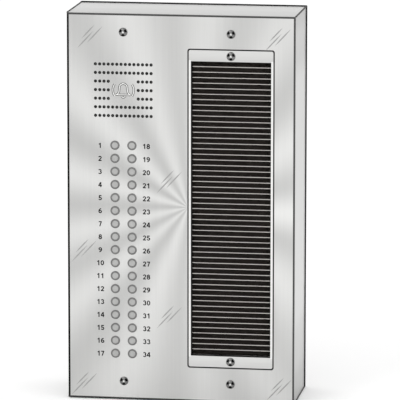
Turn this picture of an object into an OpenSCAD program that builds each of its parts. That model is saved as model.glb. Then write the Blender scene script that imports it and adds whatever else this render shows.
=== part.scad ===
// Surface-mounted apartment door intercom panel.
// The back of the box lies on the wall plane, y = 0. The front faces -Y and +Z is up.
// Every module draws its piece lying flat: local x is row X, local y is row Z,
// and local z is the height above the wall. upright() stands it up.

/* [Panel] */
// Width of the faceplate and the box
panel_w = 270; // [262:1:290]
// Height of the faceplate and the box
panel_h = 460; // [452:1:480]
// Depth from the wall to the front face (4 in)
panel_d = 101.6; // [90:0.1:115]
// Thickness of the stainless faceplate (11 gauge)
plate_t = 3; // [2.5:0.5:4]
// Width of the chamfer round the front of the faceplate
plate_chamfer = 1.8; // [0.5:0.1:2]
// Thickness of the box's sheet steel (16 gauge)
sheet_t = 1.5; // [1:0.1:2]
// Thickness of the foam gasket between the faceplate and the box
gasket_t = 1.5; // [1:0.1:2]
// Thickness of the rubber seal round the back edge of the box
seal_t = 1.2; // [1:0.1:2]

/* [Left column] */
// X of the centre line that the buttons, grille and left screws share
column_x = -67.8; // [-75:0.1:-65]

/* [Buttons] */
// Number of button rows, with two buttons in each
button_rows = 17; // [4:1:17]
// Height of the first row above the panel's centre
first_row_z = 74.4; // [70:0.1:75]
// Distance between rows
row_pitch = 15.6; // [15:0.1:15.6]
// Distance between the two columns of buttons
button_gap_x = 20.2; // [19:0.1:22]
// Radius of the round button cap
cap_r = 3.7; // [3.4:0.05:3.8]
// Travel of a button from rest to its stop
button_travel = 1.5; // [0.5:0.1:1.5]

/* [Speaker and grille] */
// Height of the grille's centre above the panel's centre
grille_z = 140; // [138:1:142]
// Columns of grille holes
grille_cols = 14; // [10:2:14]
// Rows of grille holes
grille_rows = 7; // [5:2:7]
// Distance between grille columns (0.2 in)
grille_pitch_x = 5.08; // [4.8:0.01:5.1]
// Distance between grille rows (0.4 in)
grille_pitch_z = 10.16; // [9:0.01:10.2]
// Radius of a grille hole
grille_hole_r = 1.9; // [1:0.1:2]
// Holes at each end of the middle rows, which leave the centre plain
grille_side_holes = 4; // [3:1:5]
// Side of the speaker's square flange (3.5 in speaker)
speaker_w = 87; // [85:1:88]

/* [Directory] */
// X of the directory's centre
directory_x = 59.6; // [56:0.1:60]
// Height of the directory's centre
directory_z = 0.5; // [-2:0.5:1]
// Width of the directory cover
cover_w = 99.7; // [98:0.1:103]
// Height of the directory cover
cover_h = 377.4; // [374:0.1:380]
// Width of the opening in the cover
opening_w = 94.6; // [92:0.1:95]
// Height of the opening in the cover
opening_h = 351; // [348:0.1:351]
// Gap between the cover and the faceplate all round
cover_gap = 1.6; // [0.6:0.1:2]
// Number of name strips
strip_count = 54; // [40:1:54]

/* [Fasteners] */
// Height of the faceplate screws above and below the panel's centre
screw_z = 208.5; // [206:0.1:210]
// Radius of a security screw's head
screw_head_r = 5.2; // [4.5:0.1:5.5]
// Half the distance between the wall holes, across
wall_hole_x = 100; // [90:1:105]
// Half the distance between the wall holes, up and down
wall_hole_z = 180; // [160:1:190]
// Radius of a wall hole (1/4 in screws)
wall_hole_r = 3.3; // [2.5:0.1:4]

/* [Hidden] */
$fn = 48;
eps = 0.01;             // overshoot of a cutting tool
slip = 0.05;            // radial clearance of a sliding or screwed fit

plate_back = panel_d - plate_t;
lip_front = plate_back - gasket_t;
lip_back = lip_front - sheet_t;
seal_d = 3;             // how far the rear seal reaches forward from the wall
side_lip = 14;          // width of the box's front lips at the sides
end_lip = 28;           // and at the top and bottom

screw_r = 2;
screw_len = 10;
nut_af = 8;             // across the flats of a weld nut for the security screws
weld_nut_t = 3;
stud_r = 1.45;          // M3 weld stud
stud_nut_af = 5.5;
stud_nut_t = 2.4;

bezel_r = 5.5;
bezel_t = 1;            // height of a bezel's flange above the faceplate
lip_t = 1.8;            // thickness of the ring that stops the plunger
barrel_r = 4.95;
barrel_len = 10;
bore_r = 4.4;
cap_rise = 0.5;         // height of a cap above its bezel at rest
plunger_t = 1.5;        // thickness of the plunger's collar
stem_r = 1.5;
barrel_nut_af = 13;
barrel_nut_t = 2.5;

board_front = plate_back - 14;
board_t = 1.6;
board_w = 64;
board_h = 275;
board_z = first_row_z - row_pitch * (button_rows - 1) / 2;
bar_w = 4;
leaf_t = 0.3;
leaf_w = 4;
leaf_tip = board_front + 3.8;        // front of a leaf's free end, where the stem rests
bar_t = leaf_tip - leaf_t - button_travel - board_front;

window_t = 1.5;
window_gasket_t = 1;
window_w = opening_w + 2.4;
window_h = opening_h + 2.4;
window_back = plate_back - window_gasket_t - window_t;
strip_pitch = (opening_h - 0.9) / strip_count;
rib_t = 0.8;            // thickness of a rib between two name strips
rib_h = 1.6;
strip_t = 1;
carrier_t = 1.2;
carrier_front = window_back - 0.1 - rib_h;
pan_t = 1.2;            // sheet of the directory pan
pan_w = window_w + 0.6;
pan_h = window_h + 0.6;
pan_flange = 8;         // how far the pan's flange reaches past the cover
pan_depth = 10;
pan_stud_x = cover_w / 2 + 4.7;
pan_stud_z = 150;

stud_pos = speaker_w / 2 - 6.5;      // speaker stud, from the speaker's axis
screen_t = 0.4;
foam_t = 1.6;
speaker_front = plate_back - screen_t - foam_t;
flange_t = 1.2;
flange_back = speaker_front - flange_t;
basket_back = flange_back - 20.8;
basket_step = 3.3;      // height of the ledge that the spider is glued to
cone_r = 33;
rim_r = cone_r - 1.5;   // inside of the ledge that the cone's edge is glued to
magnet_r = 22.5;
magnet_back = basket_back - 15;

block_len = 50.8;
block_w = 10;
block_t = 11;
block_x = 20;           // centre of a terminal block, from the column's centre line
block_z = 60;           // and from the board's centre
terminal_pitch = 5.08;
terminals = 10;         // in one block

entry_x = 0;            // centre of the cable entry in the box's back
entry_z = 150;
entry_r = 7.5;
entry_hole_r = 11.1;

button_places = [for (side = [-1, 1]) for (row = [0:button_rows - 1])
    [column_x + side * button_gap_x / 2, first_row_z - row * row_pitch]];
screw_places = [for (x = [column_x, directory_x]) for (z = [-screw_z, screw_z]) [x, z]];
cover_screw_places = [for (side = [-1, 1]) [directory_x, directory_z + side * 182]];
speaker_places = [for (x = [-1, 1]) for (z = [-1, 1])
    [column_x + x * stud_pos, grille_z + z * stud_pos]];
pan_places = [for (x = [-1, 1]) for (z = [-1:1])
    [directory_x + x * pan_stud_x, directory_z + z * pan_stud_z]];
pillar_places = concat(
    [for (x = [-1, 1]) for (z = [-1, 1]) [column_x + x * 29, board_z + z * 133.5]],
    [for (z = [-1, 1]) [column_x, board_z + z * 3 * row_pitch + row_pitch / 2]]);
block_places = [for (x = [-1, 1]) for (z = [-1, 1])
    [column_x + x * block_x, board_z + z * block_z]];

function grille_plain(col, row) =
    abs(row - (grille_rows - 1) / 2) < 2
    && col >= grille_side_holes && col < grille_cols - grille_side_holes;
grille_places = [for (row = [0:grille_rows - 1]) for (col = [0:grille_cols - 1])
    if (!grille_plain(col, row))
        [column_x + (col - (grille_cols - 1) / 2) * grille_pitch_x,
         grille_z + (row - (grille_rows - 1) / 2) * grille_pitch_z]];

// Routes of the speaker's two wires, from its tab to the first terminals
lead_routes = [for (side = [-1, 1])
    [for (p = [[4, 113, 0], [4, 112.8, -4], [4.5, 110, -7.5], [6, 103, -9.5], [10, 92, -10],
               [18, 80, -8.5], [27, 66, -5.5], [31, 52, -2.5], [32, 41, 0], [31, 35, 1.5],
               [28, 32.7, 1.9], [23, 32.5, 1.9]])
        [column_x + side * p[0], p[1], basket_back + p[2]]]];
lead_r = 0.8;

function button_name(i) = str("button_", i < 10 ? "0" : "", i);
BUTTONS = [for (i = [1:2 * button_rows]) button_name(i)];

// ---------- helpers ----------

// Stands a piece drawn flat, so that its z becomes the distance in front of the wall
module upright() {
    rotate([90, 0, 0]) children();
}

// Copies the children to each [x, y] place at height z
module at(places, z = 0) {
    for (p = places) translate([p[0], p[1], z]) children();
}

// A flat block centred on [x, y], from height z0 to z1
module slab(x, y, w, h, z0, z1) {
    translate([x - w / 2, y - h / 2, z0]) cube([w, h, z1 - z0]);
}

// A slab with round corners
module round_slab(x, y, w, h, r, z0, z1) {
    slab(x, y, w - 2 * r, h, z0, z1);
    slab(x, y, w, h - 2 * r, z0, z1);
    for (sx = [-1, 1]) for (sy = [-1, 1])
        translate([x + sx * (w / 2 - r), y + sy * (h / 2 - r), z0])
            cylinder(r = r, h = z1 - z0);
}

// A hexagon nut with its first corner on the x axis
module hex_nut(af, t, hole_r) {
    difference() {
        cylinder(r = af / sqrt(3), h = t, $fn = 6);
        translate([0, 0, -eps]) cylinder(r = hole_r, h = t + 2 * eps);
    }
}

// ---------- case ----------

// Triangular bar that cuts a 45 degree chamfer along x
module chamfer_bar(len) {
    rotate([90, 0, 90]) linear_extrude(height = len, center = true)
        polygon([[-plate_chamfer, eps], [eps, eps], [eps, -plate_chamfer]]);
}

module plate_chamfers() {
    for (a = [0, 180]) rotate([0, 0, a])
        translate([0, panel_h / 2, panel_d]) chamfer_bar(panel_w + 1);
    for (a = [90, 270]) rotate([0, 0, a])
        translate([0, panel_w / 2, panel_d]) chamfer_bar(panel_h + 1);
}

module faceplate() {
    cut = [plate_back - eps, panel_d + eps];
    color("silver") upright() {
        difference() {
            slab(0, 0, panel_w, panel_h, plate_back, panel_d);
            plate_chamfers();
            round_slab(directory_x, directory_z, cover_w + 2 * cover_gap,
                cover_h + 2 * cover_gap, 3, cut[0], cut[1]);
            at(grille_places, cut[0]) cylinder(r = grille_hole_r, h = cut[1] - cut[0]);
            at(button_places, cut[0]) cylinder(r = barrel_r + slip, h = cut[1] - cut[0]);
            at(screw_places, cut[0]) cylinder(r = screw_r + 0.3, h = cut[1] - cut[0]);
        }
        // weld studs for the directory pan and the speaker, and pillars for the board
        at(pan_places, plate_back - 7) cylinder(r = stud_r, h = 7);
        at(speaker_places, plate_back - 8) cylinder(r = stud_r, h = 8);
        at(pillar_places, board_front) cylinder(r = 2.5, h = plate_back - board_front);
        at(pillar_places, board_front - 6) cylinder(r = stud_r, h = 6);
    }
}

// Space inside the box's front lips, also the hole in the gasket
module lip_opening(z0, z1) {
    slab(0, 0, panel_w - 2 * side_lip + 1, panel_h - 2 * end_lip, z0, z1);
}

module faceplate_gasket() {
    color("black") upright() difference() {
        slab(0, 0, panel_w - 1, panel_h - 1, lip_front, plate_back);
        lip_opening(lip_front - eps, plate_back + eps);
        at(screw_places, lip_front - eps) cylinder(r = screw_r + 0.6, h = gasket_t + 2 * eps);
    }
}

module back_box() {
    inner_w = panel_w - 2 * sheet_t;
    inner_h = panel_h - 2 * sheet_t;
    nut_back = lip_back - weld_nut_t;
    color("silver") upright() difference() {
        union() {
            difference() {
                slab(0, 0, panel_w, panel_h, 0, lip_front);
                slab(0, 0, inner_w, inner_h, sheet_t, lip_back);
                lip_opening(lip_back - 1, lip_front + eps);
            }
            at(screw_places, nut_back) cylinder(r = nut_af / sqrt(3), h = weld_nut_t, $fn = 6);
        }
        at(screw_places, nut_back - eps)
            cylinder(r = screw_r + slip, h = weld_nut_t + sheet_t + 2 * eps);
        for (x = [-wall_hole_x, wall_hole_x]) for (y = [-wall_hole_z, wall_hole_z])
            translate([x, y, -eps]) cylinder(r = wall_hole_r, h = sheet_t + 2 * eps);
        translate([entry_x, entry_z, -eps]) cylinder(r = entry_hole_r, h = sheet_t + 2 * eps);
        // conduit knockout pressed into the bottom, and two drain holes beside it
        translate([0, -panel_h / 2 - eps, panel_d / 2 - 4]) rotate([-90, 0, 0]) difference() {
            cylinder(r = entry_hole_r, h = 0.7);
            translate([0, 0, -eps]) cylinder(r = entry_hole_r - 0.8, h = 1);
        }
        for (x = [-95, 95])
            translate([x, -panel_h / 2 - eps, 12]) rotate([-90, 0, 0])
                cylinder(r = 2.5, h = sheet_t + 2 * eps);
    }
}

// Rubber band bonded round the box's back edge, which seals it to the wall
module wall_seal() {
    color("black") upright() difference() {
        round_slab(0, 0, panel_w + 2 * seal_t, panel_h + 2 * seal_t, 1, 0, seal_d);
        slab(0, 0, panel_w, panel_h, -eps, seal_d + eps);
    }
}

module cable_bushing() {
    color("black") upright() translate([entry_x, entry_z, 0]) rotate_extrude()
        polygon([[entry_r, 0], [entry_hole_r - 0.1, 0], [entry_hole_r - 0.1, sheet_t],
                 [14, sheet_t], [14, 2.7], [13.2, 3.5], [entry_r, 3.5]]);
}

// ---------- security screws ----------

// Low domed head with three curved pits, which leave a three-armed star standing
module screw_head() {
    pit_depth = 1.3;
    pit = [2, 4.6];     // inner and outer radius
    pit_turn = 60;
    head_t = 2;
    difference() {
        rotate_extrude() polygon([[0, 0], [screw_head_r, 0], [screw_head_r, 0.5],
            [screw_head_r - 0.6, 1.15], [screw_head_r - 1.6, 1.65], [2.4, head_t], [0, head_t]]);
        for (a = [30, 150, 270]) rotate([0, 0, a - pit_turn / 2])
            translate([0, 0, head_t - pit_depth]) rotate_extrude(angle = pit_turn)
                translate([pit[0], 0]) square([pit[1] - pit[0], pit_depth + 1]);
    }
}

module security_screws() {
    color("dimgray") upright() at(concat(screw_places, cover_screw_places), panel_d) {
        screw_head();
        translate([0, 0, -screw_len]) cylinder(r = screw_r, h = screw_len + eps);
    }
}

// ---------- directory ----------

module directory_cover() {
    color("silver") upright() difference() {
        round_slab(directory_x, directory_z, cover_w, cover_h, 2, plate_back, panel_d);
        slab(directory_x, directory_z, opening_w, opening_h, plate_back - eps, panel_d + eps);
        at(cover_screw_places, plate_back - eps)
            cylinder(r = screw_r + 0.3, h = plate_t + 2 * eps);
    }
}

module window_gasket() {
    z0 = plate_back - window_gasket_t;
    color("black") upright() difference() {
        slab(directory_x, directory_z, window_w, window_h, z0, plate_back);
        // the rubber shows inside the opening, a little wider on the left
        translate([0.3, 0, 0])
            slab(directory_x, directory_z, opening_w - 1.8, opening_h - 1, z0 - eps, plate_back + eps);
    }
}

module directory_window() {
    color("lightcyan", 0.3) upright()
        slab(directory_x, directory_z, window_w, window_h, window_back, window_back + window_t);
}

// Centre heights of the name strips, and of the ribs between them
function strip_y(i) = directory_z + (i - (strip_count - 1) / 2) * strip_pitch;
function rib_y(i) = strip_y(i) + strip_pitch / 2;

module strip_carrier() {
    color("lightgray") upright() {
        slab(directory_x, directory_z, window_w, window_h,
            carrier_front - carrier_t, carrier_front);
        for (i = [0:strip_count - 2])
            slab(directory_x, rib_y(i), opening_w, rib_t,
                carrier_front - eps, carrier_front + rib_h);
    }
}

module name_strips() {
    color("black") upright() for (i = [0:strip_count - 1])
        slab(directory_x, strip_y(i), opening_w, strip_pitch - rib_t - 0.1,
            carrier_front + slip, carrier_front + slip + strip_t);
}

module directory_pad() {
    floor_z = plate_back - pan_depth + pan_t;
    color("dimgray") upright()
        slab(directory_x, directory_z, window_w - 2, window_h - 2,
            floor_z + slip, carrier_front - carrier_t - slip);
}

module directory_pan() {
    sheet_back = plate_back - pan_t;
    pan_back = plate_back - pan_depth;
    nut_back = sheet_back - weld_nut_t;
    color("gray") upright() difference() {
        union() {
            slab(directory_x, directory_z, cover_w + 2 * pan_flange, cover_h + 2 * pan_flange,
                sheet_back, plate_back);
            slab(directory_x, directory_z, pan_w + 2 * pan_t, pan_h + 2 * pan_t,
                pan_back, sheet_back + eps);
            at(cover_screw_places, nut_back)
                cylinder(r = nut_af / sqrt(3), h = weld_nut_t + eps, $fn = 6);
        }
        slab(directory_x, directory_z, pan_w, pan_h, pan_back + pan_t, plate_back + eps);
        at(cover_screw_places, nut_back - eps) cylinder(r = screw_r + slip, h = 10);
        at(pan_places, sheet_back - eps) cylinder(r = stud_r + 0.15, h = pan_t + 2 * eps);
    }
}

// ---------- buttons and switches ----------

module button_bezels() {
    top = panel_d + bezel_t;
    barrel_back = panel_d - barrel_len;
    color("gray") upright() at(button_places) rotate_extrude()
        polygon([[cap_r + slip, top], [bezel_r - 0.5, top], [bezel_r, top - 0.5],
                 [bezel_r, panel_d], [barrel_r, panel_d], [barrel_r, barrel_back],
                 [bore_r, barrel_back], [bore_r, top - lip_t], [cap_r + slip, top - lip_t]]);
}

// One-piece plunger: cap, collar and stem
module button(place) {
    cap_top = panel_d + bezel_t + cap_rise;
    collar_top = panel_d + bezel_t - lip_t - slip;
    collar_back = collar_top - plunger_t;
    color("lightgray") upright() translate([place[0], place[1], 0]) rotate_extrude()
        polygon([[0, leaf_tip], [stem_r - 0.4, leaf_tip], [stem_r, leaf_tip + 0.4],
                 [stem_r, collar_back], [bore_r - slip, collar_back],
                 [bore_r - slip, collar_top], [cap_r, collar_top],
                 [cap_r, cap_top - 0.4], [cap_r - 0.4, cap_top], [0, cap_top]]);
}

// Bent strip whose foot is soldered to the board and whose free end lies under a stem
module leaf_spring() {
    foot = 16;          // how far the foot reaches out from the button's axis
    bend = 10;
    rise = 4.5;
    tip = 3.5;
    flat = board_front;
    rotate([90, 0, 0]) linear_extrude(height = leaf_w, center = true)
        polygon([[-foot, flat], [-bend, flat], [-rise, leaf_tip - leaf_t],
                 [tip, leaf_tip - leaf_t], [tip, leaf_tip], [-rise - 0.15, leaf_tip],
                 [-bend - 0.15, flat + leaf_t], [-foot, flat + leaf_t]]);
}

module leaf_springs() {
    color("goldenrod") upright() for (p = button_places)
        translate([p[0], p[1], 0]) mirror([p[0] > column_x ? 1 : 0, 0, 0]) leaf_spring();
}

module bus_bars() {
    bar_h = row_pitch * (button_rows - 1) + 12;
    color("gold") upright() for (side = [-1, 1])
        slab(column_x + side * button_gap_x / 2, board_z, bar_w, bar_h,
            board_front, board_front + bar_t);
}

module switch_board() {
    color("darkgreen") upright() difference() {
        slab(column_x, board_z, board_w, board_h, board_front - board_t, board_front);
        at(pillar_places, board_front - board_t - eps)
            cylinder(r = stud_r + 0.15, h = board_t + 2 * eps);
    }
}

// Places of one block's terminals, along y from its centre
function terminal_y(i) = (i - (terminals - 1) / 2) * terminal_pitch;

module terminal_blocks() {
    back = board_front - board_t - block_t;
    color("seagreen") upright() for (p = block_places)
        translate([p[0], p[1], 0]) mirror([p[0] > column_x ? 1 : 0, 0, 0]) difference() {
            slab(0, 0, block_w, block_len, back, back + block_t);
            for (i = [0:terminals - 1]) translate([0, terminal_y(i), 0]) {
                translate([1, 0, back - eps]) cylinder(r = 1.9 + slip, h = 7);
                slab(-block_w / 2, 0, 6, 3.4, back + 2.5, back + 6.5);
            }
        }
}

module terminal_screws() {
    back = board_front - board_t - block_t;
    color("silver") upright() for (p = block_places)
        translate([p[0], p[1], 0]) mirror([p[0] > column_x ? 1 : 0, 0, 0])
            for (i = [0:terminals - 1]) translate([1, terminal_y(i), back + 1]) difference() {
                cylinder(r = 1.9, h = 5.9);
                slab(0, 0, 5, 0.6, -eps, 0.8);
            }
}

// Nuts that clamp the buttons, and those on the weld studs
module clamp_nuts() {
    color("gainsboro") upright() {
        at(button_places, plate_back - barrel_nut_t)
            hex_nut(barrel_nut_af, barrel_nut_t, barrel_r + slip);
        at(pan_places, plate_back - pan_t - stud_nut_t) hex_nut(stud_nut_af, stud_nut_t, stud_r + slip);
        at(speaker_places, flange_back - stud_nut_t) hex_nut(stud_nut_af, stud_nut_t, stud_r + slip);
        at(pillar_places, board_front - board_t - stud_nut_t)
            hex_nut(stud_nut_af, stud_nut_t, stud_r + slip);
    }
}

// ---------- speaker ----------

// Holes that let the speaker's four studs through a flat piece
module stud_holes(z0, z1) {
    at(speaker_places, z0 - eps) cylinder(r = stud_r + 0.15, h = z1 - z0 + 2 * eps);
}

module speaker_screen() {
    color("black") upright() difference() {
        slab(column_x, grille_z, speaker_w - 2, speaker_w - 2, plate_back - screen_t, plate_back);
        stud_holes(plate_back - screen_t, plate_back);
    }
}

module speaker_gasket() {
    z0 = speaker_front;
    z1 = speaker_front + foam_t;
    color("dimgray") upright() difference() {
        slab(column_x, grille_z, speaker_w - 2, speaker_w - 2, z0, z1);
        slab(column_x, grille_z, 70.5, 66, z0 - eps, z1 + eps);
        stud_holes(z0, z1);
    }
}

module speaker_basket() {
    seat = 21;          // radius of the basket's flat end
    window_back = basket_back + basket_step + 0.2;
    color("slategray") upright() difference() {
        union() {
            slab(column_x, grille_z, speaker_w, speaker_w, flange_back, speaker_front);
            translate([column_x, grille_z, 0]) rotate_extrude()
                polygon([[0, basket_back], [seat, basket_back],
                         [rim_r + 1.4, flange_back + eps], [0, flange_back + eps]]);
            // terminal tab under the basket
            slab(column_x, grille_z - 24, 14, 12, basket_back, basket_back + 1.2);
        }
        translate([column_x, grille_z, 0]) rotate_extrude()
            polygon([[0, basket_back - eps], [9.5, basket_back - eps], [9.5, basket_back + 1],
                     [17, basket_back + 1], [17, basket_back + basket_step],
                     [21.6, basket_back + basket_step], [rim_r, flange_back],
                     [rim_r, flange_back + 0.4], [cone_r + 0.1, flange_back + 0.4],
                     [cone_r + 0.1, speaker_front + eps], [0, speaker_front + eps]]);
        stud_holes(flange_back, speaker_front);
        // six windows in the sloping wall
        for (a = [0:60:300]) translate([column_x, grille_z, window_back]) rotate([0, 0, a])
            translate([10, -9, 0]) cube([40, 18, 14]);
    }
}

// Paper cone with its rolled edge, dust cap, voice-coil tube and spider
module speaker_cone() {
    rim = flange_back + 0.45;                   // back of the glued edge
    neck = rim - 13;
    seat = basket_back + basket_step + slip;    // back of the spider's glued edge
    color("black") upright() translate([column_x, grille_z, 0]) rotate_extrude()
        polygon([[0, neck + 3.6], [5, neck + 2.6], [8, neck + 0.6], [8.6, neck + 0.6],
                 [cone_r - 5.5, rim - 0.4], [cone_r - 4.6, rim + 0.5], [cone_r - 3.2, rim + 0.9],
                 [cone_r - 1.9, rim + 0.6], [cone_r - 1.2, rim + 0.3], [cone_r, rim + 0.3],
                 [cone_r, rim], [cone_r - 1.3, rim], [cone_r - 2.1, rim + 0.3],
                 [cone_r - 3.2, rim + 0.5], [cone_r - 4.3, rim + 0.2], [cone_r - 5.1, rim - 0.8],
                 [9, neck - 0.2], [8, neck - 0.6],
                 [8, seat + 1.4], [10, seat + 1.8], [12, seat + 0.8], [14, seat + 1.8],
                 [16, seat + 0.8], [17.5, seat + 0.4], [21.2, seat + 0.4],
                 [21.2, seat], [17.3, seat], [16, seat + 0.4], [14, seat + 1.4],
                 [12, seat + 0.4], [10, seat + 1.4], [8, seat + 1],
                 [8, basket_back - 5], [7.6, basket_back - 5], [7.6, neck],
                 [4.8, neck + 2.2], [0, neck + 3.2]]);
}

// Top plate, ferrite ring, and back plate with the pole
module speaker_magnet() {
    plate = 2.5;
    front = basket_back;
    color("dimgray") upright() translate([column_x, grille_z, 0]) rotate_extrude()
        polygon([[0, magnet_back], [20, magnet_back], [20, magnet_back + plate],
                 [magnet_r, magnet_back + plate], [magnet_r, front - plate],
                 [20, front - plate], [20, front], [8.6, front], [8.6, front - plate],
                 [10, front - plate], [10, magnet_back + plate], [7.1, magnet_back + plate],
                 [7.1, front], [0, front]]);
}

// A tube of radius r swept along a list of points
module wire(route, r, sides = 8) {
    last = len(route) - 1;
    function along(i) = let (d = route[min(i + 1, last)] - route[max(i - 1, 0)]) d / norm(d);
    function across(i) = let (c = cross(along(i), [0.3, 0.1, 1])) c / norm(c);
    points = [for (i = [0:last]) for (k = [0:sides - 1])
        let (u = across(i), v = cross(along(i), u), a = 360 * k / sides)
            route[i] + r * (cos(a) * u + sin(a) * v)];
    skin = [for (i = [0:last - 1]) for (k = [0:sides - 1])
        let (a = i * sides + k, b = i * sides + (k + 1) % sides)
            for (f = [[a, b, b + sides], [a, b + sides, a + sides]]) f];
    start = [for (k = [0:sides - 1]) sides - 1 - k];
    end = [for (k = [0:sides - 1]) last * sides + k];
    polyhedron(points = points, faces = concat(skin, [start], [end]));
}

module speaker_lead() {
    color("firebrick") upright() for (route = lead_routes) wire(route, lead_r);
}

faceplate();
faceplate_gasket();
back_box();
security_screws();
wall_seal();
cable_bushing();
directory_cover();
window_gasket();
directory_window();
name_strips();
strip_carrier();
directory_pad();
directory_pan();
button_bezels();
leaf_springs();
bus_bars();
switch_board();
terminal_blocks();
terminal_screws();
clamp_nuts();
speaker_screen();
speaker_gasket();
speaker_basket();
speaker_cone();
speaker_magnet();
speaker_lead();
for (i = [1:2 * button_rows])
    button(button_places[i - 1]);
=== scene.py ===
"""Looks of the door intercom panel: its materials, its small printed and engraved pieces, light and camera.

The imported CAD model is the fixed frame. Lengths are in metres; MM turns millimetres into them.
"""

import math
import random

import bmesh
import bpy
from mathutils import Matrix, Vector


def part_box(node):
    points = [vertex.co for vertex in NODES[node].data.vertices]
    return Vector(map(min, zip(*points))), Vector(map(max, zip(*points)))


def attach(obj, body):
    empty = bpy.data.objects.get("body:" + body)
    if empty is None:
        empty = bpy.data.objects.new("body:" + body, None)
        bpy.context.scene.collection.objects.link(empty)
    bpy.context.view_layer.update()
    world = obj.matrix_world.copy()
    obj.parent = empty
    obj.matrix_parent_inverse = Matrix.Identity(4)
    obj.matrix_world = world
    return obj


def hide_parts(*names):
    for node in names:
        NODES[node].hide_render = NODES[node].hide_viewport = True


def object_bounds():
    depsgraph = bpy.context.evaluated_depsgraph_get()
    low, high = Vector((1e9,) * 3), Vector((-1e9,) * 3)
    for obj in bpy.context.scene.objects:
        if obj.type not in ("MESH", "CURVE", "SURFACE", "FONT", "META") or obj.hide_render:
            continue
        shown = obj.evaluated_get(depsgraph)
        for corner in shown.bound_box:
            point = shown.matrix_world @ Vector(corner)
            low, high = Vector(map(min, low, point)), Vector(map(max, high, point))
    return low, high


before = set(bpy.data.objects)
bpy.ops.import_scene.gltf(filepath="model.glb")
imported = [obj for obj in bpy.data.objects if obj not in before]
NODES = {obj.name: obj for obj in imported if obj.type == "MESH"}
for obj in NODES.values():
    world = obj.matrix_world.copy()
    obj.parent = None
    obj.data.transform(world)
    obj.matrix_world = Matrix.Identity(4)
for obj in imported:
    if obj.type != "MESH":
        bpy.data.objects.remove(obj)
CAD_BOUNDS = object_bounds()
BUTTONS = sorted(n for n in NODES if n.startswith("button_") and n[7:].isdigit())
MM = 0.001
PANEL = "panel"

# ---------- places, from the frame ----------

PLATE_LOW, PLATE_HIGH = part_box("faceplate")
FRONT_Y = PLATE_LOW.y
FLOOR_Z = CAD_BOUNDS[0].z
TOP_Z = CAD_BOUNDS[1].z
COVER_LOW, COVER_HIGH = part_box("directory_cover")
COVER_MID = (COVER_LOW + COVER_HIGH) / 2
WINDOW_HALF = (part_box("directory_window")[1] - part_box("directory_window")[0]).z / 2
GRILLE_LOW, GRILLE_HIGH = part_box("speaker_screen")
GRILLE_MID = (GRILLE_LOW + GRILLE_HIGH) / 2
BUTTON_MIDS = {n: (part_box(n)[0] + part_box(n)[1]) / 2 for n in BUTTONS}
COLUMN_X = sum(m.x for m in BUTTON_MIDS.values()) / len(BUTTON_MIDS)
RAY_CENTRE = Vector((COVER_LOW.x - 0.7 * MM, 0, COVER_MID.z + 2 * MM))  # where the face's painted reflection rays meet

# How bright the white studio is as steel sees it. A tone is divided by it, so that it shows as named.
STUDIO = 1.13


# ---------- a short way to write materials ----------


def tone(grey, tint=(1.0, 1.0, 0.985)):
    """A shown grey, from 0 to 255, as a linear colour for a surface in the white studio."""
    level = (grey / 255) ** 2.2 / STUDIO
    return tuple(level * t for t in tint) + (1.0,)


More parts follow.
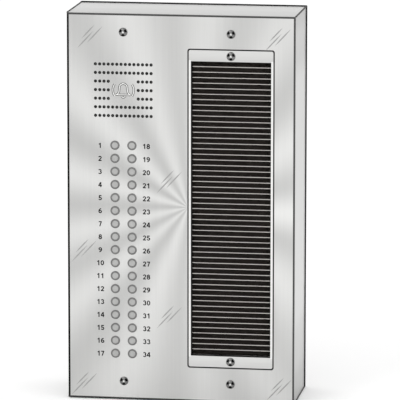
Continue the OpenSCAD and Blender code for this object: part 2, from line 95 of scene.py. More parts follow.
class Paint:
    """One Principled material, and its nodes as method calls that return an output socket."""

    def __init__(self, name, color, metallic=0.0, roughness=0.5, specular=0.5):
        self.material = bpy.data.materials.new(name)
        self.material.use_nodes = True
        self.material.diffuse_color = tuple(color[:3]) + (1.0,)
        self.tree = self.material.node_tree
        self.surface = self.tree.nodes["Principled BSDF"]
        self.set("Base Color", color)
        self.set("Metallic", metallic)
        self.set("Roughness", roughness)
        self.set("Specular IOR Level", specular)
        self.coords = None
        self.height = None

    def set(self, socket, value):
        """Gives one of the surface's sockets a plain value or another node's output."""
        self.join(value, self.surface.inputs[socket])

    def join(self, value, socket):
        """Gives any socket a plain value or another node's output."""
        if isinstance(value, bpy.types.NodeSocket):
            self.tree.links.new(value, socket)
        else:
            socket.default_value = value

    def node(self, kind, values=(), **settings):
        """A new shader node, with values or outputs for its inputs by name or number."""
        made = self.tree.nodes.new("ShaderNode" + kind)
        for key, value in settings.items():
            setattr(made, key, value)
        for key, value in dict(values).items():
            self.join(value, made.inputs[key])
        return made

    def source(self, output="Object"):
        """One output of the material's texture coordinates."""
        if self.coords is None:
            self.coords = self.node("TexCoord")
        return self.coords.outputs[output]

    def axes(self, output="Object"):
        """The x, y and z of the object's own coordinates, or of its own normals."""
        return list(self.node("SeparateXYZ", {0: self.source(output)}).outputs)

    def math(self, operation, a, b=0.0, c=0.0, clamp=False):
        made = self.node("Math", {0: a, 1: b, 2: c}, operation=operation, use_clamp=clamp)
        return made.outputs[0]

    def spread(self, value, low, high, start=0.0, end=1.0):
        """Turns start..end into low..high."""
        values = {0: value, 1: start, 2: end, 3: low, 4: high}
        return self.node("MapRange", values).outputs[0]

    def stretched(self, stretch):
        """Object coordinates with each axis multiplied by its own number."""
        values = {0: self.source(), 1: stretch}
        return self.node("VectorMath", values, operation="MULTIPLY").outputs[0]

    def noise(self, scale, stretch=(1, 1, 1), detail=3.0):
        values = {
            "Vector": self.stretched(stretch),
            "Scale": scale,
            "Detail": detail,
            "Roughness": 0.55,
        }
        return self.node("TexNoise", values).outputs[0]

    def cells(self, scale):
        """Distances from the middles of scattered cells."""
        values = {"Vector": self.stretched((1, 1, 1)), "Scale": scale}
        return self.node("TexVoronoi", values, feature="F1").outputs["Distance"]

    def ramp(self, factor, stops):
        """A soft blend between (position, colour) pairs."""
        made = self.node("ValToRGB", {0: factor})
        band = made.color_ramp
        band.interpolation = "EASE"
        while len(band.elements) < len(stops):
            band.elements.new(0.5)
        for element, (position, _) in zip(band.elements, sorted(stops)):
            element.position = position
        for element, (_, color) in zip(band.elements, sorted(stops)):
            element.color = color
        return made.outputs[0]

    def mix(self, factor, a, b, blend="MIX"):
        """Colour a where the factor is 0, and colour b where it is 1."""
        made = self.node("Mix", data_type="RGBA", blend_type=blend)
        self.join(factor, made.inputs[0])
        self.join(a, made.inputs[6])
        self.join(b, made.inputs[7])
        return made.outputs[2]

    def shade(self, color, amount):
        """A colour multiplied by a number."""
        grey = self.node("CombineColor", {0: amount, 1: amount, 2: amount}).outputs[0]
        return self.mix(1.0, color, grey, "MULTIPLY")

    def relief(self, height, depth, strength=1.0):
        """Raises the surface by height x depth, on top of any relief before it."""
        values = {"Height": height, "Distance": depth, "Strength": strength}
        if self.height is not None:
            values["Normal"] = self.height
        self.height = self.node("Bump", values).outputs[0]
        self.set("Normal", self.height)

    def mostly_along(self, axis, sharp=0.9):
        """1 where the object's surface faces along that axis, either way, and 0 elsewhere."""
        return self.math("GREATER_THAN", self.math("ABSOLUTE", self.axes("Normal")[axis]), sharp)


def dress(names, paint):
    """Gives CAD nodes a material."""
    for name in names if isinstance(names, (list, tuple)) else [names]:
        mesh = NODES[name].data
        mesh.materials.clear()
        mesh.materials.append(paint.material)


# ---------- steel ----------


def brush(paint, along=2):
    """Fine lines of a brushed finish along one axis, with broader faint streaks.

    Gives the surface its relief and roughness, and returns a factor for its colour.
    """
    fine, broad = [2600.0] * 3, [260.0] * 3
    fine[along], broad[along] = 14.0, 3.0
    lines = paint.noise(1.0, tuple(fine), detail=2.0)
    streaks = paint.noise(1.0, tuple(broad), detail=4.0)
    smudges = paint.noise(9.0, detail=4.0)
    paint.relief(lines, 0.012 * MM, 0.5)
    both = paint.math("MULTIPLY_ADD", lines, 0.6, paint.math("MULTIPLY", smudges, 0.4))
    paint.set("Roughness", paint.spread(both, 0.30, 0.42, 0.3, 0.7))
    return paint.math(
        "MULTIPLY",
        paint.spread(lines, 0.975, 1.025, 0.3, 0.7),
        paint.spread(streaks, 0.985, 1.015, 0.3, 0.7),
    )


# The fan of soft rays on the face, painted reflections in its colour: where its dark rays point, in degrees
# from +X towards +Z.
# A light ray lies halfway between two dark ones.
DARK_RAYS = [-152, -126, -94, -75, -57, -18, 14, 50, 74, 95, 121, 150, 180]
DARK_GREY, LIGHT_GREY = 196, 226
RIGHT_LIFT = 12  # how much lighter the rays that point to +X are
FULL_GAP = 30  # rays that stand closer together than this many degrees differ less
CLOSE_LIFT, CLOSE_DROP = 25, 15  # how far the closest dark and light rays move towards each other

# Widths of the bands of painted shade and of painted highlight along the edges of the face.
LEFT_SHADE_WIDTH = 2.7 * MM  # painted shade along the left edge of the faceplate
RIM_WIDTH = 2 * MM  # where a side of the plate counts as its outline, painted dark as shade
COVER_MARGIN = 2.45 * MM  # the cover's frame beside its window, painted bright as a highlight
CUT_OUT_X = COVER_LOW.x - 5 * MM  # an inner wall beyond this x is the directory cut-out's, painted darker as shade


def ray_tones():
    """The painted reflection fan as (share of a full turn from -X, linear colour) pairs."""
    tones = []
    turns = [DARK_RAYS[-1] - 360] + DARK_RAYS
    gaps = [two - one for one, two in zip(turns, turns[1:])]
    for number, (start, gap) in enumerate(zip(turns, gaps)):
        room_beside = min(gap, gaps[number - 1], FULL_GAP) / FULL_GAP
        room_inside = min(gap / FULL_GAP, 1)
        dark = (start, DARK_GREY + CLOSE_LIFT * (1 - room_beside))
        light = (start + gap / 2, LIGHT_GREY - CLOSE_DROP * (1 - room_inside))
        for angle, grey in (dark, light):
            lift = RIGHT_LIFT * max(0, math.cos(math.radians(angle))) ** 4
            tones.append(((angle + 180) / 360, tone(grey + lift)))
    return tones + [(1.0, tones[0][1])]


def face_steel():
    """Brushed steel of the faceplate, with a painted fan of reflection rays, a band of painted shade along
    its left edge, and dark cut edges and hole walls in painted shade.
    """
    paint = Paint("brushed_face", tone(212), metallic=1.0)
    x, _, z = paint.axes()
    across = paint.math("SUBTRACT", x, RAY_CENTRE.x)
    up = paint.math("SUBTRACT", z, RAY_CENTRE.z)
    turn = paint.math("ARCTAN2", up, across)
    share = paint.spread(turn, 0, 1, -math.pi, math.pi)
    # painted reflections: the fan of light and dark rays in the face's colour
    painted_reflection_rays = paint.ramp(share, ray_tones())
    color = paint.shade(painted_reflection_rays, brush(paint))
    # painted shade: a near black band along the left edge of the front face
    left_edge_shade = paint.math("LESS_THAN", x, PLATE_LOW.x + LEFT_SHADE_WIDTH)
    color = paint.mix(left_edge_shade, color, tone(4))
    # painted shade: chamfers, sides and hole walls are darker than the front, darkest on the left-facing
    # chamfer and inside the directory cut-out
    front = paint.mostly_along(1, 0.95)
    left = paint.math("LESS_THAN", paint.axes("Normal")[0], -0.5)
    rim_shade = paint.mix(left, tone(84), tone(4))
    beyond_x = paint.math("GREATER_THAN", paint.math("ABSOLUTE", x), PLATE_HIGH.x - RIM_WIDTH)
    beyond_z = paint.math("GREATER_THAN", paint.math("ABSOLUTE", z), PLATE_HIGH.z - RIM_WIDTH)
    outer = paint.math("MAXIMUM", beyond_x, beyond_z)
    cut_out = paint.math("GREATER_THAN", x, CUT_OUT_X)
    inner = paint.mix(cut_out, tone(96), tone(10))
    edge = paint.mix(outer, inner, rim_shade)
    paint.set("Base Color", paint.mix(front, edge, color))
    return paint


def box_steel():
    """Brushed steel of the box, with painted shade: the sides darken softly towards both ends and the top
    towards the front.
    """
    paint = Paint("brushed_box", tone(210), metallic=1.0)
    _, y, z = paint.axes()
    height = paint.spread(z, 0, 1, FLOOR_Z, TOP_Z)
    # painted shade: the sides' tone along the height and the top's tone along the depth, each face with its
    # own painted tone
    ends = [(0.0, 186), (0.05, 190), (0.11, 204), (0.16, 207), (0.24, 220), (0.5, 217)]
    ends += [(0.82, 214), (0.89, 196), (0.94, 199), (0.98, 188), (1.0, 184)]
    side = paint.ramp(height, [(p, tone(g)) for p, g in ends])
    depth = paint.spread(y, 0, 1, FRONT_Y, 0)
    top = paint.ramp(depth, [(0.0, tone(198)), (0.35, tone(206)), (0.6, tone(213)), (1.0, tone(216))])
    flat = paint.mix(paint.mostly_along(2), side, top)
    back = paint.noise(14.0, detail=5.0)
    rear = paint.ramp(back, [(0.3, tone(186)), (0.7, tone(206))])
    color = paint.mix(paint.mostly_along(1), flat, rear)
    paint.set("Base Color", paint.shade(color, brush(paint, along=2)))
    return paint


def cover_steel():
    """Brighter brushed steel of the directory's frame, with a painted highlight beside its window, painted
    light and shade bands along its height and painted shade on its walls.
    """
    paint = Paint("brushed_cover", tone(222), metallic=1.0)
    x, _, z = paint.axes()
    out = paint.math("ABSOLUTE", paint.math("SUBTRACT", x, COVER_MID.x))
    beside = paint.math("GREATER_THAN", out, (COVER_HIGH.x - COVER_LOW.x) / 2 - COVER_MARGIN)
    away = paint.math("ABSOLUTE", paint.math("SUBTRACT", z, COVER_MID.z))
    margin_highlight = paint.math("MULTIPLY", beside, paint.math("LESS_THAN", away, WINDOW_HALF))
    height = paint.spread(z, 0, 1, COVER_LOW.z, COVER_HIGH.z)
    # painted light and shade: tone bands that vary along the cover's height
    bands = paint.ramp(height, [(0.0, tone(216)), (0.03, tone(226)), (0.96, tone(212)), (1.0, tone(224))])
    # painted highlight: the bright margins beside the window
    face = paint.mix(margin_highlight, bands, tone(246))
    # painted shade: every wall of the cover that does not face the front is near black
    color = paint.mix(paint.mostly_along(1), tone(26), face)
    paint.set("Base Color", paint.shade(color, brush(paint, along=0)))
    return paint


def turned_metal(name, grey, roughness=0.28, tint=(1.0, 1.0, 0.985)):
    """Lathe-turned or drawn small metal: fine noise in its tone and finish."""
    paint = Paint(name, tone(grey, tint), metallic=1.0, roughness=roughness)
    grain = paint.noise(1800.0, detail=3.0)
    cloud = paint.noise(160.0, detail=3.0)
    paint.relief(grain, 0.01 * MM, 0.4)
    paint.set("Roughness", paint.spread(grain, roughness - 0.06, roughness + 0.08, 0.3, 0.7))
    paint.set("Base Color", paint.shade(tone(grey, tint), paint.spread(cloud, 0.94, 1.06, 0.3, 0.7)))
    return paint


def galvanised_steel():
    """Zinc-coated sheet with its angular spangle. What faces the front is painted black, as shade in the
    gap around the cover.
    """
    paint = Paint("galvanised", tone(188, (0.97, 0.99, 1.0)), metallic=1.0)
    spangle = paint.cells(140.0)
    fine = paint.noise(900.0)
    paint.relief(fine, 0.02 * MM, 0.5)
    paint.set("Roughness", paint.spread(spangle, 0.34, 0.52, 0.0, 0.8))
    color = paint.shade(tone(192, (0.97, 0.99, 1.0)), paint.spread(spangle, 0.82, 1.08, 0.0, 0.8))
    # painted shade: front-facing faces, seen only through the gap, are near black and not metallic
    gap_shade = paint.math("LESS_THAN", paint.axes("Normal")[1], -0.5)
    paint.set("Base Color", paint.mix(gap_shade, color, tone(14)))
    paint.set("Metallic", paint.math("SUBTRACT", 1.0, gap_shade))
    return paint


# ---------- other materials ----------


def moulded(name, color, roughness=0.5, grain=700.0, depth=0.03 * MM, specular=0.4):
    """Moulded plastic or rubber with a fine moulded grain and a little mottling."""
    paint = Paint(name, color, roughness=roughness, specular=specular)
    skin = paint.noise(grain, detail=4.0)
    broad = paint.noise(45.0, detail=3.0)
    paint.relief(skin, depth, 0.6)
    paint.set("Roughness", paint.spread(skin, roughness - 0.08, roughness + 0.1, 0.3, 0.7))
    paint.set("Base Color", paint.shade(color, paint.spread(broad, 0.92, 1.08, 0.3, 0.7)))
    return paint


def foam(name, grey, pores=900.0):
    """Open or closed-cell foam: round pores at two sizes."""
    paint = Paint(name, tone(grey), roughness=0.9, specular=0.2)
    small, large = paint.cells(pores), paint.cells(pores / 3)
    both = paint.math("ADD", small, paint.math("MULTIPLY", large, 0.6))
    paint.relief(both, 0.12 * MM, 0.8)
    paint.set("Base Color", paint.shade(tone(grey), paint.spread(both, 0.55, 1.2, 0.1, 0.9)))
    return paint


def woven_cloth():
    """Dark grey acoustic cloth: a plain weave of crossing threads."""
    paint = Paint("acoustic_cloth", tone(112), roughness=0.95, specular=0.1)
    x, _, z = paint.axes()
    thread = 2 * math.pi / (0.7 * MM)
    warp = paint.math("SINE", paint.math("MULTIPLY", x, thread))
    weft = paint.math("SINE", paint.math("MULTIPLY", z, thread))
    weave = paint.math("MULTIPLY", warp, weft)
    paint.relief(weave, 0.08 * MM, 0.9)
    paint.set("Base Color", paint.shade(tone(112), paint.spread(weave, 0.6, 1.25, -1.0, 1.0)))
    return paint


def clear_sheet():
    """Clear polycarbonate: seen through from the front, glossy at grazing angles, with faint wipe marks."""
    paint = Paint("clear_window", (0.9, 0.9, 0.9, 1), metallic=1.0, roughness=0.06)
    wipes = paint.noise(1.0, (30.0, 30.0, 220.0), detail=4.0)
    paint.set("Roughness", paint.spread(wipes, 0.05, 0.18, 0.35, 0.7))
    clear = paint.node("BsdfTransparent", {0: (0.99, 0.985, 0.98, 1)})
    glancing = paint.node("LayerWeight", {"Blend": 0.5}).outputs["Facing"]
    share = paint.math("MULTIPLY", paint.math("POWER", glancing, 4.0), 0.5, clamp=True)
    both = paint.node("MixShader", {0: share})
    paint.tree.links.new(clear.outputs[0], both.inputs[1])
    paint.tree.links.new(paint.surface.outputs[0], both.inputs[2])
    out = paint.tree.nodes["Material Output"]
    paint.tree.links.new(both.outputs[0], out.inputs["Surface"])
    return paint


def strip_stock():
    """Matt black engraving stock of the blank name strips."""
    color = tone(33, (1.12, 0.96, 0.84))
    paint = Paint("strip_stock", color, roughness=0.75, specular=0.06)
    grain = paint.noise(1.0, (90.0, 90.0, 1500.0), detail=3.0)
    cloud = paint.noise(24.0, detail=3.0)
    paint.relief(grain, 0.008 * MM, 0.4)
    paint.set("Base Color", paint.shade(color, paint.spread(cloud, 0.85, 1.15, 0.3, 0.7)))
    return paint


def bright_aluminium():
    """Drawn aluminium of the ribs between the strips."""
    warm = (1.0, 0.965, 0.95)
    paint = Paint("drawn_aluminium", tone(205, warm), metallic=1.0, roughness=0.3)
    lines = paint.noise(1.0, (40.0, 2400.0, 2400.0), detail=2.0)
    paint.relief(lines, 0.01 * MM, 0.4)
    paint.set("Roughness", paint.spread(lines, 0.24, 0.4, 0.3, 0.7))
    paint.set("Base Color", paint.shade(tone(208, warm), paint.spread(lines, 0.93, 1.05, 0.3, 0.7)))
    return paint


def circuit_board():
    """Green solder mask over copper tracks, with bare glass-epoxy edges."""
    paint = Paint("solder_mask", (0.01, 0.09, 0.035, 1), roughness=0.32, specular=0.5)
    x, _, z = paint.axes()
    pitch = 2 * math.pi / (15.5 * MM)
    tracks = paint.math("SINE", paint.math("MULTIPLY", z, pitch))
    lanes = paint.math("SINE", paint.math("MULTIPLY", x, pitch * 3))
    copper = paint.math("GREATER_THAN", paint.math("MULTIPLY", tracks, lanes), 0.55)
    weave = paint.noise(1300.0)
    paint.relief(copper, 0.04 * MM, 0.5)
    paint.relief(weave, 0.01 * MM, 0.4)
    mask = paint.mix(copper, (0.008, 0.075, 0.03, 1), (0.02, 0.15, 0.05, 1))
    edge = paint.shade((0.42, 0.36, 0.16, 1), paint.spread(weave, 0.8, 1.1, 0.3, 0.7))
    paint.set("Base Color", paint.mix(paint.mostly_along(1), edge, mask))
    return paint


def paper_cone():
    """Pressed black paper with fibres, and fine rings from the press."""
    paint = Paint("cone_paper", tone(46), roughness=0.85, specular=0.2)
    fibres = paint.noise(1.0, (1500.0, 1500.0, 500.0), detail=5.0)
    x, _, z = paint.axes()
    dx = paint.math("SUBTRACT", x, GRILLE_MID.x)
    dz = paint.math("SUBTRACT", z, GRILLE_MID.z)
    squares = paint.math("MULTIPLY_ADD", dx, dx, paint.math("MULTIPLY", dz, dz))
    radius = paint.math("SQRT", squares)
    rings = paint.math("SINE", paint.math("MULTIPLY", radius, 2 * math.pi / (2.2 * MM)))
    paint.relief(rings, 0.05 * MM, 0.5)
    paint.relief(fibres, 0.04 * MM, 0.7)
    paint.set("Base Color", paint.shade(tone(46), paint.spread(fibres, 0.7, 1.4, 0.3, 0.7)))
    return paint


# painted shade: near black in the screws' recess pits
PIT_SHADE = moulded("screw_pit_shade", tone(12), roughness=0.8, specular=0.1)
HEAD = turned_metal("screw_head", 128, roughness=0.3)
# painted highlight: the bright three-cornered middle of each screw head
STAR_HIGHLIGHT = turned_metal("screw_star_highlight", 246, roughness=0.2)
INK = moulded("label_ink", tone(16), roughness=0.65, specular=0.1, depth=0.005 * MM)
RUBBER_PARTS = ["window_gasket", "cable_bushing", "wall_seal"]

dress("faceplate", face_steel())
dress("back_box", box_steel())
dress("directory_cover", cover_steel())
dress("faceplate_gasket", foam("gasket_foam", 34))
dress(RUBBER_PARTS, moulded("black_rubber", tone(24), roughness=0.7, specular=0.25))
dress("directory_window", clear_sheet())
dress("name_strips", strip_stock())
dress("strip_carrier", bright_aluminium())
dress("directory_pan", galvanised_steel())
dress("button_bezels", turned_metal("bezel_nickel", 129, roughness=0.34))
dress(BUTTONS, turned_metal("button_steel", 185, roughness=0.36))
dress("clamp_nuts", turned_metal("zinc_nut", 178, tint=(1.0, 0.97, 0.86)))
dress("leaf_springs", turned_metal("phosphor_bronze", 190, tint=(1.0, 0.66, 0.36)))
dress("bus_bars", turned_metal("tinned_brass", 200, tint=(1.0, 0.86, 0.52)))
dress("switch_board", circuit_board())
dress("terminal_blocks", moulded("terminal_nylon", (0.03, 0.20, 0.09, 1), roughness=0.42))
dress("terminal_screws", turned_metal("zinc_screw", 200, tint=(1.0, 0.98, 0.92)))
dress("speaker_gasket", foam("speaker_foam", 52, pores=700.0))
dress("speaker_basket", moulded("black_enamel", tone(38), roughness=0.3, specular=0.5))
dress("speaker_cone", paper_cone())
dress("speaker_magnet", moulded("ferrite", tone(70), roughness=0.55, grain=1600.0))
dress("speaker_lead", moulded("wire_insulation", (0.42, 0.03, 0.025, 1), roughness=0.38))


# ---------- pieces made here ----------


def new_piece(name, mesh, paints, body=PANEL):
    """A mesh, placed in the object's own frame, as a piece of the object."""
    piece = bpy.data.objects.new(name, mesh)
    bpy.context.scene.collection.objects.link(piece)
    for paint in paints:
        mesh.materials.append(paint.material)
    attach(piece, body)
    return piece


def soften(piece, width):
    """Rounds a piece's sharp edges, so that they catch light as real ones do."""
    bevel = piece.modifiers.new("edges", "BEVEL")
    bevel.width = width
    bevel.segments = 3
    bevel.limit_method = "ANGLE"
    bevel.angle_limit = math.radians(30)


def as_mesh(thing):
    """The mesh of a curve object, which is then removed."""
    bpy.context.view_layer.update()
    shape = thing.evaluated_get(bpy.context.evaluated_depsgraph_get())
    mesh = bpy.data.meshes.new_from_object(shape)
    mesh.transform(thing.matrix_world)
    bpy.data.objects.remove(thing)
    return mesh


def joined(meshes, name):
    """Several (mesh, material number) pairs as one mesh."""
    made = bmesh.new()
    for mesh, number in meshes:
        start = len(made.faces)
        made.from_mesh(mesh)
        made.faces.ensure_lookup_table()
        for face in made.faces[start:]:
            face.material_index = number
    whole = bpy.data.meshes.new(name)
    made.to_mesh(whole)
    made.free()
    return whole


# A security screw's head: radius and height above the plate, as in the CAD, in millimetres.
HEAD_PROFILE = [(0, 2.0), (2.4, 2.0), (3.6, 1.65), (4.6, 1.15), (5.2, 0.5), (5.3, 0.0)]


def head_height(out):
    """How high the head stands above the plate at a distance from its axis, where it has no pit."""
    for (r0, h0), (r1, h1) in zip(HEAD_PROFILE, HEAD_PROFILE[1:]):
        if out <= r1:
            return h0 + (h1 - h0) * (out - r0) / (r1 - r0)
    return 0.0


def islands_of(made):
    """The separate solids of a mesh, each as a list of faces."""
    made.faces.ensure_lookup_table()
    seen, groups = set(), []
    for first in made.faces:
        if first in seen:
            continue
        seen.add(first)
        group, queue = [], [first]
        while queue:
            face = queue.pop()
            group.append(face)
            near = {other for edge in face.edges for other in edge.link_faces} - seen
            seen |= near
            queue += near
        groups.append(group)
    return groups


def middle_of(faces):
    """The middle of the faces' outline, seen from the front."""
    xs = [v.co.x for f in faces for v in f.verts]
    zs = [v.co.z for f in faces for v in f.verts]
    return Vector(((min(xs) + max(xs)) / 2, 0, (min(zs) + max(zs)) / 2))


HEAD_TOP = 1.98 * MM  # a face this far in front of the plate is on the head's flat top
TOP_REACH = 3 * MM  # the flat top is nearer to its axis than this
HEAD_REACH = 6 * MM  # everything of a screw is nearer to its axis than this
PIT_REACH = 4.7 * MM  # the recess pits are nearer to the axis than this
PIT_DEPTH = 0.15  # how far below the head's surface a face of a pit is at least, in millimetres
STAR_REACH = 0.85 * MM  # from the screw's axis to each side of its three-cornered middle, painted bright as a highlight
STAR_SIDES = [Vector((math.cos(math.radians(a)), 0, math.sin(math.radians(a)))) for a in (30, 150, 270)]


def near_top(face, middle):
    """Whether a face is on the flat top of the screw whose axis is there."""
    at = face.calc_center_median()
    return FRONT_Y - at.y > HEAD_TOP and math.hypot(at.x - middle.x, at.z - middle.z) < TOP_REACH


def cut_star(made, middle):
    """Cuts the flat top of one screw along the three sides of its star, the painted highlight."""
    for side in STAR_SIDES:
        tops = [f for f in made.faces if near_top(f, middle)]
        geometry = {e for f in tops for e in f.edges} | {v for f in tops for v in f.verts} | set(tops)
        point = middle + side * STAR_REACH
        bmesh.ops.bisect_plane(made, geom=list(geometry), dist=1e-7, plane_co=point, plane_no=side)


def paint_screw(made, middle):
    """Gives the faces of one screw the painted pit shade or the star's painted highlight."""
    for face in made.faces:
        at = face.calc_center_median()
        offset = Vector((at.x - middle.x, 0, at.z - middle.z))
        if offset.length > HEAD_REACH:
            continue
        rise = (FRONT_Y - at.y) / MM
        inside = all(offset.dot(side) < STAR_REACH for side in STAR_SIDES)
        if 0 < rise < head_height(offset.length / MM) - PIT_DEPTH and offset.length < PIT_REACH:
            face.material_index = 1
        elif near_top(face, middle) and inside:
            face.material_index = 2


def security_screws():
    """The CAD's screws with painted shade in their pits and a painted highlight on a three-cornered middle
    of each darker head.
    """
    mesh = NODES["security_screws"].data.copy()
    mesh.materials.clear()
    piece = new_piece("security_screw_set", mesh, [HEAD, PIT_SHADE, STAR_HIGHLIGHT])
    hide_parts("security_screws")
    made = bmesh.new()
    made.from_mesh(mesh)
    bmesh.ops.remove_doubles(made, verts=made.verts, dist=0.001 * MM)
    for middle in [middle_of(group) for group in islands_of(made)]:
        cut_star(made, middle)
        paint_screw(made, middle)
    made.to_mesh(mesh)
    made.free()


def arc(middle, radii, start, end, steps=16):
    """Points on part of an ellipse, with its two radii and its angles in degrees."""
    turns = [math.radians(start + (end - start) * i / steps) for i in range(steps + 1)]
    return [(middle[0] + radii[0] * math.cos(t), middle[1] + radii[1] * math.sin(t)) for t in turns]


def turned_over(lines, width):
    """The same lines turned by half a turn, in a frame 1 high."""
    return [[(width - x, 1 - z) for x, z in line] for line in lines]


# Plain bold digits, measured in their own height.
DIGIT_WIDTH = 0.7
DIGIT_STROKE = 0.215
DIGIT_GAP = 0.08
# The centre lines of each digit, in a frame 0.7 wide and 1 high.
DIGIT_LINES = {
    "0": [arc((0.35, 0.5), (0.245, 0.40), 0, 360, 24)],
    "1": [[(0.43, 0), (0.43, 1)], [(0.43, 0.90), (0.14, 0.70)]],
    "2": [arc((0.35, 0.70), (0.245, 0.20), 170, -30) + [(0.14, 0.10)], [(0.04, 0.10), (0.66, 0.10)]],
    "3": [arc((0.33, 0.71), (0.22, 0.19), 160, -80), arc((0.34, 0.31), (0.25, 0.21), 80, -160)],
    "4": [[(0.46, 0.97), (0.06, 0.30)], [(0, 0.30), (0.70, 0.30)], [(0.50, 0), (0.50, 1)]],
    "5": [
        [(0.14, 0.90), (0.64, 0.90)],
        [(0.22, 0.98), (0.15, 0.46)],
        arc((0.34, 0.32), (0.26, 0.22), 130, -160),
    ],
    "6": [arc((0.36, 0.32), (0.245, 0.22), 0, 360, 24), arc((0.52, 0.40), (0.41, 0.50), 190, 85)],
    "7": [[(0.05, 0.90), (0.66, 0.90)], [(0.57, 0.93), (0.26, 0)]],
    "8": [arc((0.35, 0.715), (0.205, 0.19), 0, 360, 20), arc((0.35, 0.30), (0.25, 0.205), 0, 360, 24)],
}
DIGIT_LINES["9"] = turned_over(DIGIT_LINES["6"], DIGIT_WIDTH)

# The printed numbers, in millimetres.
LABEL_HEIGHT = 6.0
LABEL_OUT = {"left": 28.0, "right": 27.2}  # from the middle between the two columns of buttons
LABEL_DROP = 0.6  # how far below its button's middle a number's middle is
LABEL_PRESS = 0.09  # a ratio: a printed line's rise divided by half its width


def digit_meshes():
    """One mesh for each digit, with its lower left corner at the origin."""
    meshes = {}
    for digit, lines in DIGIT_LINES.items():
        strokes = []
        for line in lines:
            points = [(x * LABEL_HEIGHT, z * LABEL_HEIGHT) for x, z in line]
            strokes.append((stroke(points, LABEL_HEIGHT * DIGIT_STROKE / 2, LABEL_PRESS), 0))
        meshes[digit] = joined(strokes, "digit")
    return meshes


def number_labels():
    """The numbers 1 to 34, each on the outer side of its button."""
    shapes = digit_meshes()
    advance = (DIGIT_WIDTH + DIGIT_GAP) * LABEL_HEIGHT
    meshes = []
    for name, middle in BUTTON_MIDS.items():
        number = str(int(name[7:]))
        out = -LABEL_OUT["left"] if middle.x < COLUMN_X else LABEL_OUT["right"]
        start = out - (len(number) * advance - DIGIT_GAP * LABEL_HEIGHT) / 2
        for place, digit in enumerate(number):
            mesh = shapes[digit].copy()
            x = COLUMN_X + (start + place * advance) * MM
            z = middle.z - (LABEL_DROP + LABEL_HEIGHT / 2) * MM
            mesh.transform(Matrix.Translation((x, FRONT_Y, z)))
            meshes.append((mesh, 0))
    new_piece("number_labels", joined(meshes, "number_labels"), [INK])


def stroke(points, radius, flat):
    """A rounded line through points, pressed flat along y, from sizes in millimetres.

    A line that ends where it starts is closed.
    """
    closed = math.dist(points[0], points[-1]) < radius / 100
    points = points[:-1] if closed else points
    curve = bpy.data.curves.new("stroke", "CURVE")
    curve.dimensions = "3D"
    curve.bevel_depth = radius * MM
    curve.bevel_resolution = 3
    curve.use_fill_caps = True
    line = curve.splines.new("POLY")
    line.points.add(len(points) - 1)
    for point, (x, z) in zip(line.points, points):
        point.co = (x * MM, 0, z * MM, 1)
    line.use_cyclic_u = closed
    thing = bpy.data.objects.new("stroke", curve)
    bpy.context.scene.collection.objects.link(thing)
    mesh = as_mesh(thing)
    mesh.transform(Matrix.Diagonal((1, flat, 1, 1)))
    return mesh


# The bell symbol's raised lines, painted bright as a highlight, and the wider flat bands of painted shade
# that they stand in: half the width of a line in millimetres, and how flat it is.
SHADE_BAND = (1.35, 0.04)
RIDGE_HIGHLIGHT = (0.62, 0.5)


def bell_emblem():
    """A generic bell with two sound arcs, embossed where the grille is plain. Its lines carry a painted
    highlight, in bands of painted shade.
    """
    side = arc((0, 3.0), (4.6, 4.6), 90, 8, 10) + [(4.8, 0.6), (5.2, -2.0), (6.2, -4.0), (7.6, -5.4)]
    lines = [
        [(-x, z) for x, z in reversed(side)] + side[1:],
        [(-8.9, -5.6), (8.9, -5.6)],
        arc((0, -6.6), (2.0, 2.0), 200, 340, 8),
        arc((0, 0), (12.4, 12.4), -34, 34),
        arc((0, 0), (12.4, 12.4), 146, 214),
    ]
    meshes = [(stroke(line, *SHADE_BAND), 0) for line in lines] + [(stroke(line, *RIDGE_HIGHLIGHT), 1) for line in lines]
    whole = joined(meshes, "bell_emblem")
    whole.transform(Matrix.Translation((GRILLE_MID.x, FRONT_Y, GRILLE_MID.z)))
    # painted shade and painted highlight: the dark bands and the bright lines of the bell
    shade_band = turned_metal("emblem_shade_band", 84, roughness=0.4)
    ridge_highlight = turned_metal("emblem_ridge_highlight", 248, roughness=0.22)
    new_piece("bell_emblem", whole, [shade_band, ridge_highlight])


# Places of the small sets of painted glints on the face, painted reflection marks, in millimetres from the
# panel's middle.
GLINT_SETS = [(-108, 204), (114, 205), (-14, 34), (-116, -51), (-14, -128), (-116, -211), (117, -211)]
# Each mark of a set: how far aside and how far along the set's slant its middle is, and its length.
GLINT_MARKS = [(4, 2, 23), (0, -7, 29), (-4, 5, 28)]
GLINT_SLANT = math.radians(47)
GLINT_ALONG = Vector((math.cos(GLINT_SLANT), math.sin(GLINT_SLANT)))
GLINT_ASIDE = Vector((-GLINT_ALONG.y, GLINT_ALONG.x))
GLINT_WIDTH = 1.4
GLINT_RISE = 0.015 * MM  # above the face


def glint(middle, length):
    """One slim pointed painted glint along the slant, as six corners around its middle. In millimetres."""
    ends = [(-0.5, 0), (-0.2, 0.5), (0.2, 0.5), (0.5, 0), (0.2, -0.5), (-0.2, -0.5)]
    return [middle + GLINT_ALONG * length * a + GLINT_ASIDE * GLINT_WIDTH * b for a, b in ends]


def surface_glints():
    """Sets of fine slanting painted glints, painted reflection marks lying just above the brushed face."""
    made = bmesh.new()
    for place in GLINT_SETS:
        for aside, along, length in GLINT_MARKS:
            outline = glint(Vector(place) + GLINT_ASIDE * aside + GLINT_ALONG * along, length)
            ring = [made.verts.new((c.x * MM, FRONT_Y - GLINT_RISE, c.y * MM)) for c in reversed(outline)]
            made.faces.new(ring)
    bmesh.ops.recalc_face_normals(made, faces=made.faces)
    mesh = bpy.data.meshes.new("surface_glints")
    made.to_mesh(mesh)
    made.free()
    # painted reflections: the grey glint marks
    mark = turned_metal("glint_mark", 168, roughness=0.3)
    new_piece("surface_glints", mesh, [mark])


WELD_RADIUS = 1.0 * MM
WELD_INSET = 0.2 * MM  # from the front of the box to the start of a weld


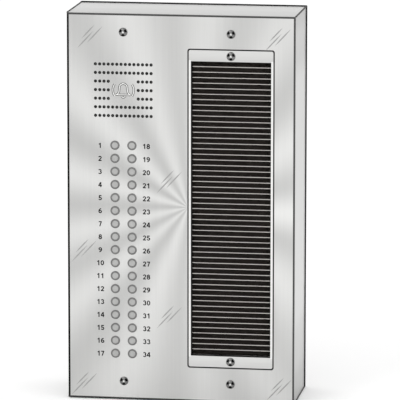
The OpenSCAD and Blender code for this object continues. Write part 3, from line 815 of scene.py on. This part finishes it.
def bead(corner, start, end, radius):
    """A rippled weld bead along y at one corner of the box, with a ring of points every 0.3 mm."""
    made = bmesh.new()
    sides, pitch = 10, 0.3 * MM
    count = int(abs(end - start) / pitch)
    rings = []
    for i in range(count + 1):
        y = start + (end - start) * i / count
        swell = radius * (0.86 + 0.14 * abs(math.sin(i * math.pi / 4)))
        ring = []
        for k in range(sides):
            turn = 2 * math.pi * k / sides
            x, z = corner.x + swell * math.cos(turn), corner.z + swell * math.sin(turn)
            ring.append(made.verts.new((x, y, z)))
        rings.append(ring)
    for one, two in zip(rings, rings[1:]):
        for k in range(sides):
            made.faces.new((one[k], two[k], two[k - 1], one[k - 1]))
    made.faces.new(rings[0])
    made.faces.new(list(reversed(rings[-1])))
    bmesh.ops.recalc_face_normals(made, faces=made.faces)
    mesh = bpy.data.meshes.new("bead")
    made.to_mesh(mesh)
    made.free()
    mesh.shade_smooth()
    return mesh


def weld_beads():
    """The welds that close the box's four folded corners; their dark colour is painted shade along the
    corner edges.
    """
    low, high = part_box("back_box")
    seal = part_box("wall_seal")[0].y
    folds = [Vector((x, 0, z)) for x in (low.x, high.x) for z in (low.z, high.z)]
    meshes = [(bead(fold, low.y + WELD_INSET, seal, WELD_RADIUS), 0) for fold in folds]
    # painted shade: the dark tone of the beads along the box's corner edges
    weld_shade = turned_metal("weld_edge_shade", 66, roughness=0.45, tint=(1.0, 0.97, 0.93))
    new_piece("weld_beads", joined(meshes, "weld_beads"), [weld_shade])


CLOTH_SQUARES = 68  # along each side
CLOTH_THICKNESS = 0.3 * MM
CLOTH_UNEVEN = 0.02 * MM  # how far a point of the cloth is from its flat middle at most


def stretched_cloth():
    """The acoustic cloth behind the grille, clamped flat between the plate and the foam."""
    low, high = GRILLE_LOW, GRILLE_HIGH
    steps = CLOTH_SQUARES
    made = bmesh.new()
    rng = random.Random(7)
    rows = []
    for j in range(steps + 1):
        row = []
        for i in range(steps + 1):
            x = low.x + (high.x - low.x) * i / steps
            z = low.z + (high.z - low.z) * j / steps
            y = (low.y + high.y) / 2 + rng.uniform(-CLOTH_UNEVEN, CLOTH_UNEVEN)
            row.append(made.verts.new((x, y, z)))
        rows.append(row)
    for j in range(steps):
        for i in range(steps):
            made.faces.new((rows[j][i], rows[j][i + 1], rows[j + 1][i + 1], rows[j + 1][i]))
    mesh = bpy.data.meshes.new("grille_cloth")
    made.to_mesh(mesh)
    made.free()
    piece = new_piece("grille_cloth", mesh, [woven_cloth()])
    thick = piece.modifiers.new("thickness", "SOLIDIFY")
    thick.thickness = CLOTH_THICKNESS
    thick.offset = 0
    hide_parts("speaker_screen")


PAD_ROWS, PAD_COLUMNS = 60, 16  # squares of the foam pad's mesh, about 6 mm each way


def backing_pad():
    """The foam pad that presses the name strips forward, with soft edges and open pores."""
    low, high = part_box("directory_pad")
    size, middle = high - low, (low + high) / 2
    made = bmesh.new()
    bmesh.ops.create_cube(made, size=1.0)
    bmesh.ops.scale(made, vec=size, verts=made.verts)
    bmesh.ops.translate(made, vec=middle, verts=made.verts)
    upright = [e for e in made.edges if abs((e.verts[0].co - e.verts[1].co).z) > size.z / 2]
    bmesh.ops.subdivide_edges(made, edges=upright, cuts=PAD_ROWS - 1, use_grid_fill=True)
    across = [e for e in made.edges if abs((e.verts[0].co - e.verts[1].co).x) > size.x / 2]
    bmesh.ops.subdivide_edges(made, edges=across, cuts=PAD_COLUMNS - 1, use_grid_fill=True)
    mesh = bpy.data.meshes.new("foam_backing")
    made.to_mesh(mesh)
    made.free()
    piece = new_piece("foam_backing", mesh, [foam("pad_foam", 78, pores=600.0)])
    soften(piece, 0.7 * MM)
    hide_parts("directory_pad")


security_screws()
weld_beads()
number_labels()
bell_emblem()
surface_glints()
stretched_cloth()
backing_pad()


# ---------- camera, floor and light ----------


def studio_camera():
    """A long lens from a little right of the panel and a little above it."""
    turn, rise, distance = math.radians(8.8), math.radians(10.1), 4.95
    data = bpy.data.cameras.new("camera")
    data.sensor_width = 36.0
    data.lens = 375.5
    data.shift_x = 0.0322
    data.shift_y = 0.0047
    data.clip_end = 100.0
    data.dof.use_dof = False
    camera = bpy.data.objects.new("camera", data)
    back = Vector((math.sin(turn) * math.cos(rise), -math.cos(turn) * math.cos(rise), math.sin(rise)))
    camera.location = Vector((0, FRONT_Y / 2, 0)) + back * distance
    camera.rotation_mode = "QUATERNION"
    camera.rotation_quaternion = (-back).to_track_quat("-Z", "Y")
    bpy.context.scene.collection.objects.link(camera)
    bpy.context.scene.camera = camera


def studio_floor():
    """A wide white floor just below the panel."""
    made = bmesh.new()
    bmesh.ops.create_grid(made, x_segments=8, y_segments=8, size=12.0)
    mesh = bpy.data.meshes.new("floor")
    made.to_mesh(mesh)
    made.free()
    floor = bpy.data.objects.new("floor", mesh)
    floor.location.z = FLOOR_Z - 0.1 * MM
    paint = Paint("floor_white", (0.97, 0.97, 0.97, 1), roughness=0.9, specular=0.0)
    speck = paint.noise(3.0, detail=2.0)
    paint.set("Base Color", paint.shade((0.97, 0.97, 0.97, 1), paint.spread(speck, 0.99, 1.01, 0.3, 0.7)))
    mesh.materials.append(paint.material)
    bpy.context.scene.collection.objects.link(floor)


def soft_box(name, place, size, energy):
    """A rectangular lamp that points at the panel's middle."""
    light = bpy.data.lights.new(name, "AREA")
    light.shape = "RECTANGLE"
    light.size, light.size_y = size
    light.energy = energy
    lamp = bpy.data.objects.new(name, light)
    lamp.location = place
    lamp.rotation_mode = "QUATERNION"
    lamp.rotation_quaternion = (-Vector(place)).to_track_quat("-Z", "Y")
    bpy.context.scene.collection.objects.link(lamp)


def studio_light():
    """A white studio all round, with a stronger lamp on the left and a weaker one on the right."""
    world = bpy.data.worlds.new("white_studio")
    world.use_nodes = True
    sky = world.node_tree.nodes["Background"]
    sky.inputs["Color"].default_value = (1, 1, 1, 1)
    sky.inputs["Strength"].default_value = 1.06
    bpy.context.scene.world = world
    soft_box("key", (-1.3, -2.2, 1.9), (1.2, 1.2), 12.0)
    soft_box("fill", (1.9, -1.2, 0.9), (1.0, 1.4), 4.0)
    bpy.context.scene.view_settings.view_transform = "Standard"


studio_camera()
studio_floor()
studio_light()
